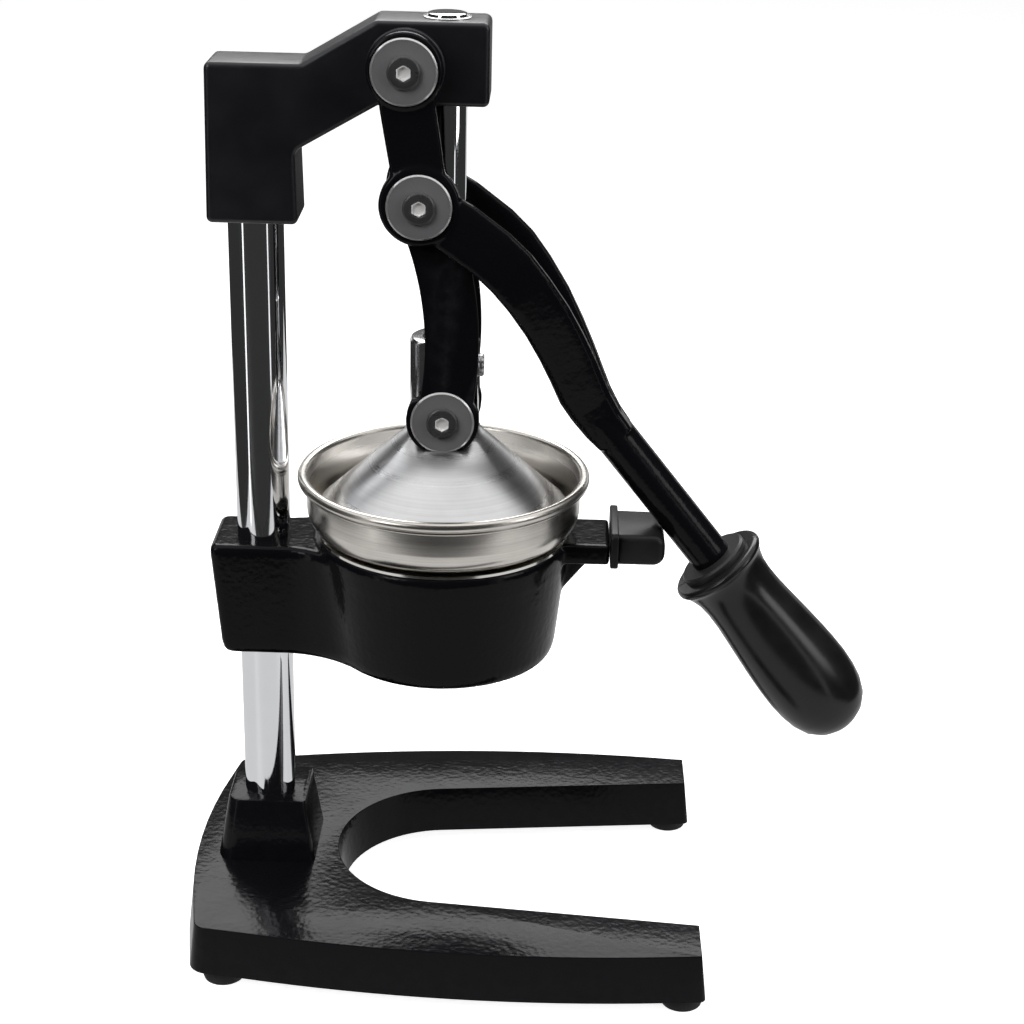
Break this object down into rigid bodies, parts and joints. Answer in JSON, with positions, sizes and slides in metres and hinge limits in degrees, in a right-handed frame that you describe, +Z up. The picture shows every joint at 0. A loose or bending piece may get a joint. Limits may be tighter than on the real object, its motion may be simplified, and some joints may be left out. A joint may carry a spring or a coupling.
{
  "type": "citrus press juicer",
  "caption": "Free-standing lever citrus press: cast U-shaped base, chromed column, toggle lever with curved links, press cone over a steel strainer cup.",
  "frame": {"origin": "bottom centre of the bounding box, at table level; the press axis stands at x = -39 mm, y = 0", "axes": "+Z up along the press rod, +X towards the grip (user's side), +Y to the far side"},
  "size_m": [0.3161, 0.194, 0.4275],
  "materials": {
    "cast_paint": "gloss black textured paint on cast iron",
    "head_paint": "satin black paint on cast iron",
    "chrome_column": "mirror chrome on steel",
    "stainless": "brushed stainless steel",
    "press_alu": "turned aluminium",
    "phosphated": "dark phosphated steel",
    "dark_screw": "black oxide steel",
    "zinc": "zinc plated steel",
    "steel_pin": "ground steel",
    "bronze": "sintered bronze",
    "grip_plastic": "semi-gloss black plastic",
    "ferrule_black": "satin black plastic",
    "bumper_rubber": "satin black rubber",
    "foot_rubber": "matte black rubber"
  },
  "bodies": {
    "frame": {"base": "cast_paint", "feet": "foot_rubber", "foot_screws": "zinc", "column": "chrome_column", "column_bolt": "zinc", "bracket": "cast_paint", "bracket_screw": "dark_screw", "bumper_cap": "bumper_rubber", "juice_funnel": "stainless", "strainer_cup": "stainless", "reamer": "stainless", "head": "head_paint", "head_screw": "dark_screw", "guide_bush": "bronze", "h_pin": "steel_pin", "h_washers": "phosphated", "h_screws": "dark_screw"},
    "lever": {"lever": "cast_paint", "ferrule": "ferrule_black", "grip": "grip_plastic", "m_pin": "steel_pin", "m_washers": "phosphated", "m_screws": "dark_screw"},
    "links": {"link_front": "cast_paint", "link_rear": "cast_paint", "p_washers": "phosphated", "p_screws": "dark_screw"},
    "press": {"press_rod": "chrome_column", "press_head": "press_alu", "press_screw": "zinc", "p_pin": "steel_pin"}
  },
  "joints": [
    {"name": "lever_hinge", "type": "hinge", "parent": "frame", "child": "lever", "pos_m": [-0.0553, 0, 0.4068], "axis": [0, -1, 0], "range_deg": [0, 95]},
    {"name": "link_hinge", "type": "hinge", "parent": "lever", "child": "links", "pos_m": [-0.049, 0, 0.351], "axis": [0, -1, 0], "range_deg": [-124.5, 0]},
    {"name": "press_slide", "type": "slide", "parent": "frame", "child": "press", "axis": [0, 0, 1], "range_m": [0, 0.0746]}
  ],
  "couplings": [
    {"joint": "link_hinge", "follows": "lever_hinge", "ratio": -1.3083},
    {"joint": "press_slide", "follows": "lever_hinge", "m_per_rad": 0.044902}
  ]
}
